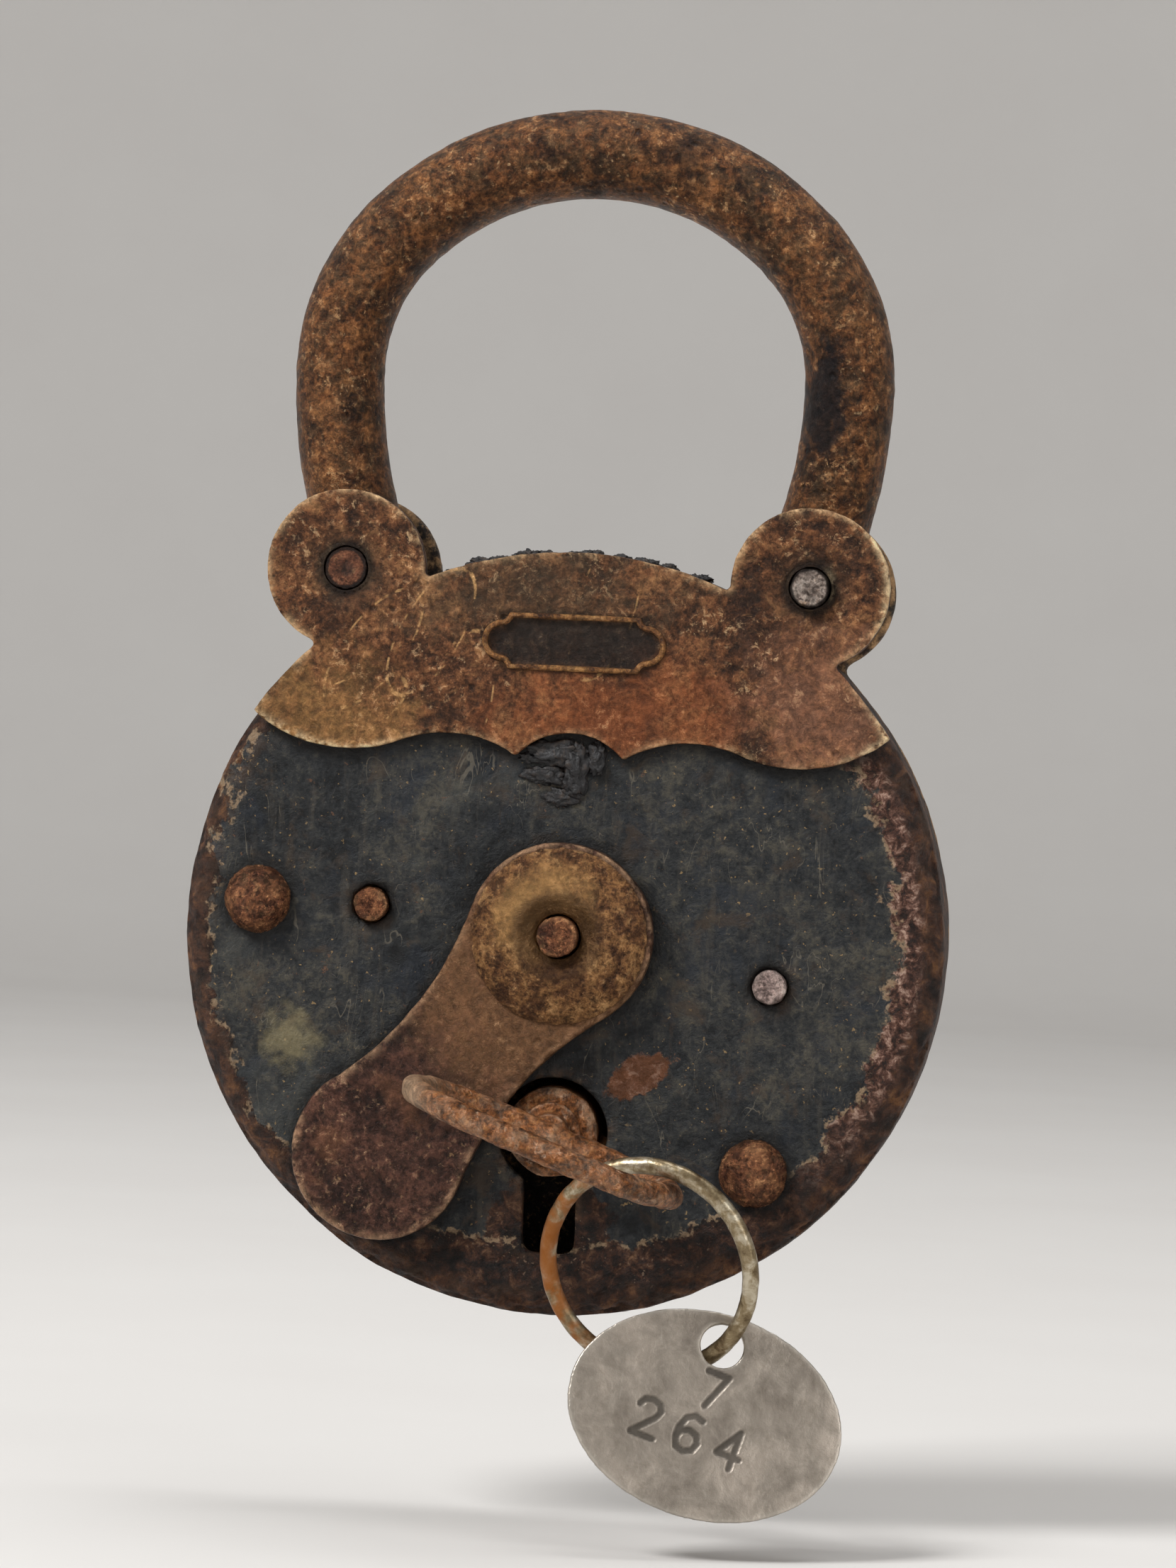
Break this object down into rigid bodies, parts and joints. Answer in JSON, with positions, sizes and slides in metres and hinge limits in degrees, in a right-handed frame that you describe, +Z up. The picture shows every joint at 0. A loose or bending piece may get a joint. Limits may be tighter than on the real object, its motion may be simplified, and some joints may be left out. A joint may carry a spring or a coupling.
{
  "type": "padlock",
  "caption": "Rusty round padlock with two ears, a swinging keyhole cover, a hinged shackle, and a turned key that carries a wire ring and an oval tag.",
  "frame": {"origin": "centre of the round case's flat back face", "axes": "+Z up towards the shackle's crown, -Y out of the keyhole face, +X to the right when facing the keyhole"},
  "size_m": [0.08, 0.0392, 0.1449],
  "materials": {
    "black_paint": "worn black paint over rust",
    "back_paint": "worn black paint",
    "rusty_trim": "brown-bronze rust with worn pale edges",
    "rusty_shackle": "dark brown rusty steel",
    "rusty_cover": "chocolate-brown rust",
    "golden_rust": "tarnished golden brown",
    "rivet_rust": "rusty rivet",
    "rivet_bright": "worn bright rivet",
    "key_rust": "orange-brown rusty key",
    "ring_wire": "tarnished plated wire",
    "tag_metal": "dull grey tag",
    "inner_brass": "brass lever",
    "inner_steel": "dark steel",
    "spring_steel": "blued spring steel"
  },
  "bodies": {
    "case": {"front_shell": "black_paint", "back_plate": "back_paint", "top_trim": "rusty_trim", "shackle_pin": "rivet_rust", "toe_rivet": "rivet_bright", "case_rivet_left": "rivet_rust", "case_rivet_right": "rivet_rust", "lever_post": "rivet_rust", "catch_post": "rivet_bright", "drill_pin": "inner_brass", "cover_rivet": "rusty_cover", "catch_spring": "spring_steel", "catch_spring_stud": "inner_steel", "lever_spacer": "inner_brass", "lever_spring_stud": "inner_steel"},
    "shackle": {"shackle": "rusty_shackle"},
    "cover": {"keyhole_cover": "rusty_cover", "cover_boss": "golden_rust"},
    "catch": {"catch": "inner_steel"},
    "lever_1": {"lever_1": "inner_brass", "lever_spring_1": "spring_steel"},
    "lever_2": {"lever_2": "inner_brass", "lever_spring_2": "spring_steel"},
    "lever_3": {"lever_3": "inner_brass", "lever_spring_3": "spring_steel"},
    "key": {"key": "key_rust"},
    "key_ring": {"key_ring": "ring_wire"},
    "key_tag": {"key_tag": "tag_metal"}
  },
  "joints": [
    {"name": "shackle_swing", "type": "hinge", "parent": "case", "child": "shackle", "pos_m": [-0.0243, -0.0075, 0.03728], "axis": [0, -1, 0], "range_deg": [0, 105]},
    {"name": "key_turn", "type": "hinge", "parent": "case", "child": "key", "pos_m": [0, -0.01, -0.0205], "axis": [0, -1, 0], "range_deg": [-70, 0]},
    {"name": "cover_swing", "type": "hinge", "parent": "case", "child": "cover", "pos_m": [0, -0.0164, 0], "axis": [0, -1, 0], "range_deg": [-30, 0]},
    {"name": "catch_pivot", "type": "hinge", "parent": "case", "child": "catch", "pos_m": [0.022, -0.0041, -0.0043], "axis": [0, -1, 0], "range_deg": [-6.61, 0]},
    {"name": "lever_1_lift", "type": "hinge", "parent": "case", "child": "lever_1", "pos_m": [-0.0201, -0.007, 0.0023], "axis": [0, -1, 0], "range_deg": [-2.21, 0]},
    {"name": "lever_2_lift", "type": "hinge", "parent": "case", "child": "lever_2", "pos_m": [-0.0201, -0.0085, 0.0023], "axis": [0, -1, 0], "range_deg": [-1.91, 0]},
    {"name": "lever_3_lift", "type": "hinge", "parent": "case", "child": "lever_3", "pos_m": [-0.0201, -0.01, 0.0023], "axis": [0, -1, 0], "range_deg": [-1.61, 0]},
    {"name": "ring_swing", "type": "hinge", "parent": "key", "child": "key_ring", "pos_m": [0.01372, -0.0287, -0.02549], "axis": [0, -1, 0], "range_deg": [-45, 35]},
    {"name": "tag_swing", "type": "hinge", "parent": "key_ring", "child": "key_tag", "pos_m": [0.01972, -0.0287, -0.04044], "axis": [0.6528, -0.342, 0.676], "range_deg": [-35, 35]}
  ],
  "couplings": [
    {"joint": "catch_pivot", "follows": "key_turn", "ratio": 0.094286},
    {"joint": "lever_1_lift", "follows": "key_turn", "ratio": 0.031429},
    {"joint": "lever_2_lift", "follows": "key_turn", "ratio": 0.027143},
    {"joint": "lever_3_lift", "follows": "key_turn", "ratio": 0.022857}
  ]
}
